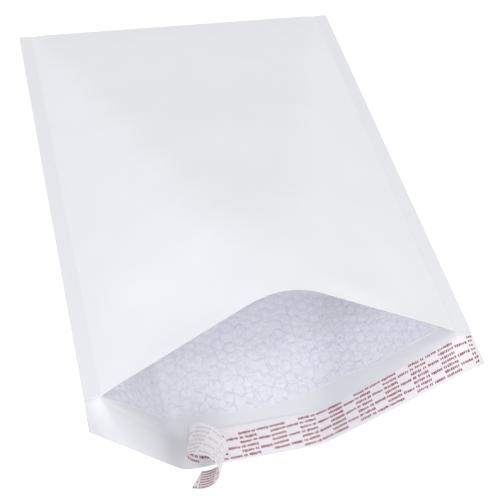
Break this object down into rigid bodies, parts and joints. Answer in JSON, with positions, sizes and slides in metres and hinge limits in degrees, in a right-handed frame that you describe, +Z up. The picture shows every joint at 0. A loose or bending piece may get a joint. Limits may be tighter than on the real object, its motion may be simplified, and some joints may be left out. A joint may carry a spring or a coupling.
{
  "type": "padded envelope",
  "caption": "Padded mailing envelope lying open on its back, bubble lined, with a self-seal flap and a release liner part peeled into a curl.",
  "frame": {"origin": "middle of the object's box, on the surface that it lies on", "axes": "+Y from the open mouth to the folded end, +Z up through the front panel, +X to the right seen from the mouth"},
  "size_m": [0.362, 0.5716, 0.1504],
  "materials": {
    "outer_envelope": "smooth white kraft, matt",
    "bubble_lining": "translucent bubble film, soft gloss",
    "adhesive_strip": "clear tacky film",
    "release_liner": "siliconed paper with printed rows"
  },
  "bodies": {
    "root": {"outer_envelope": "outer_envelope", "bubble_lining": "bubble_lining", "adhesive_strip": "adhesive_strip", "release_liner": "release_liner"}
  },
  "joints": []
}
